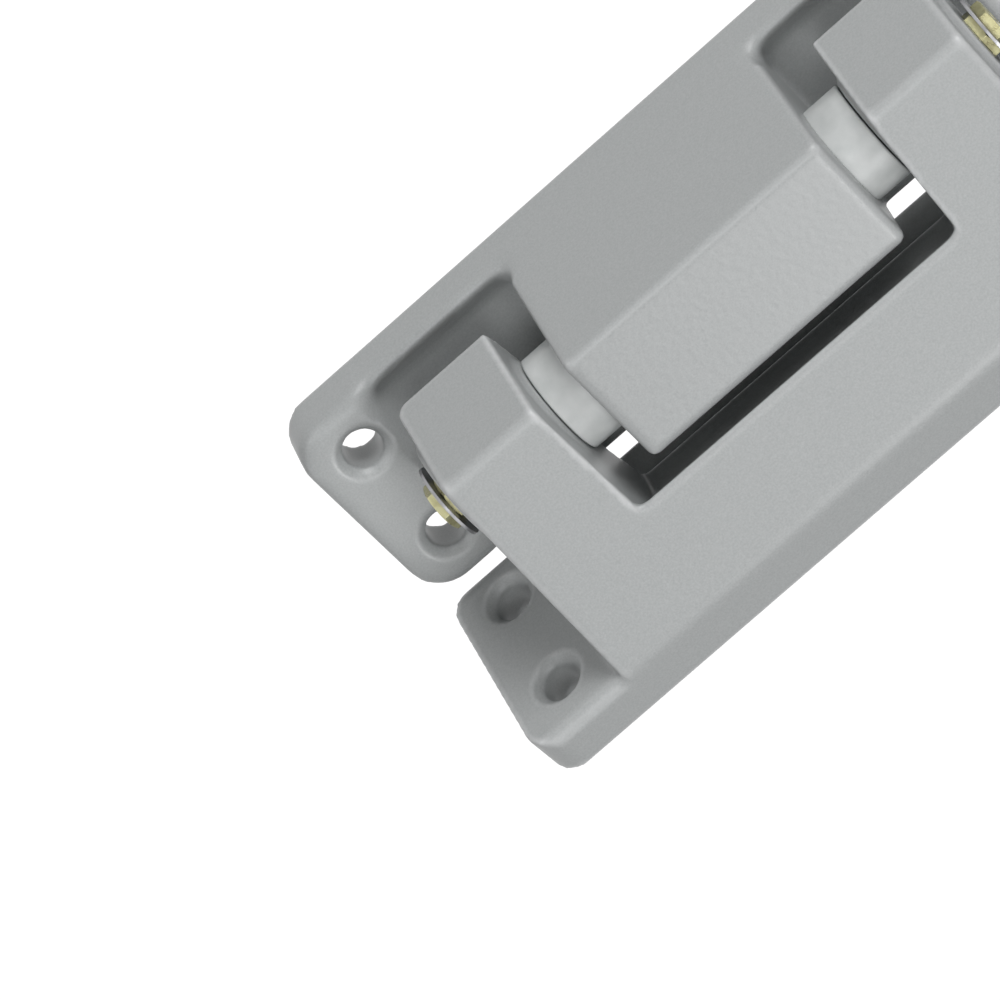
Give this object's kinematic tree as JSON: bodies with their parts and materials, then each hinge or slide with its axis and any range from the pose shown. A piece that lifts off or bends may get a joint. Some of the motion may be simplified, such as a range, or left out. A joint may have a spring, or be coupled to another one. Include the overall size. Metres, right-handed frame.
{
  "type": "hinge",
  "caption": "Heavy duty surface hinge: two cast leaves with screw pads, a fork turning on nylon bushes round a central knuckle.",
  "frame": {"origin": "middle of the hinge's length, below the pin, on the frame leaf's back face", "axes": "+X along the hinge pin, +Y towards the frame leaf's outer edge, +Z out of the frame leaf's face"},
  "size_m": [0.1912, 0.0815, 0.0587],
  "materials": {
    "grey_powder_coat": "fine satin light grey powder coat over a die casting",
    "white_nylon": "natural white nylon, slightly translucent",
    "pin_steel": "turned steel",
    "yellow_zinc": "yellow passivated zinc plate",
    "washer_steel": "plain zinc plated steel"
  },
  "bodies": {
    "frame": {"frame_leaf": "grey_powder_coat", "bush_left": "white_nylon", "bush_right": "white_nylon"},
    "door": {"door_leaf": "grey_powder_coat", "hinge_pin": "pin_steel", "inner_nut_left": "yellow_zinc", "inner_nut_right": "yellow_zinc", "outer_nut_left": "yellow_zinc", "outer_nut_right": "yellow_zinc", "washer_left": "washer_steel", "washer_right": "washer_steel"}
  },
  "joints": [
    {"name": "leaf_fold", "type": "hinge", "parent": "frame", "child": "door", "pos_m": [0, 0, 0.0292], "axis": [-1, 0, 0], "range_deg": [-9, 105.1]}
  ]
}
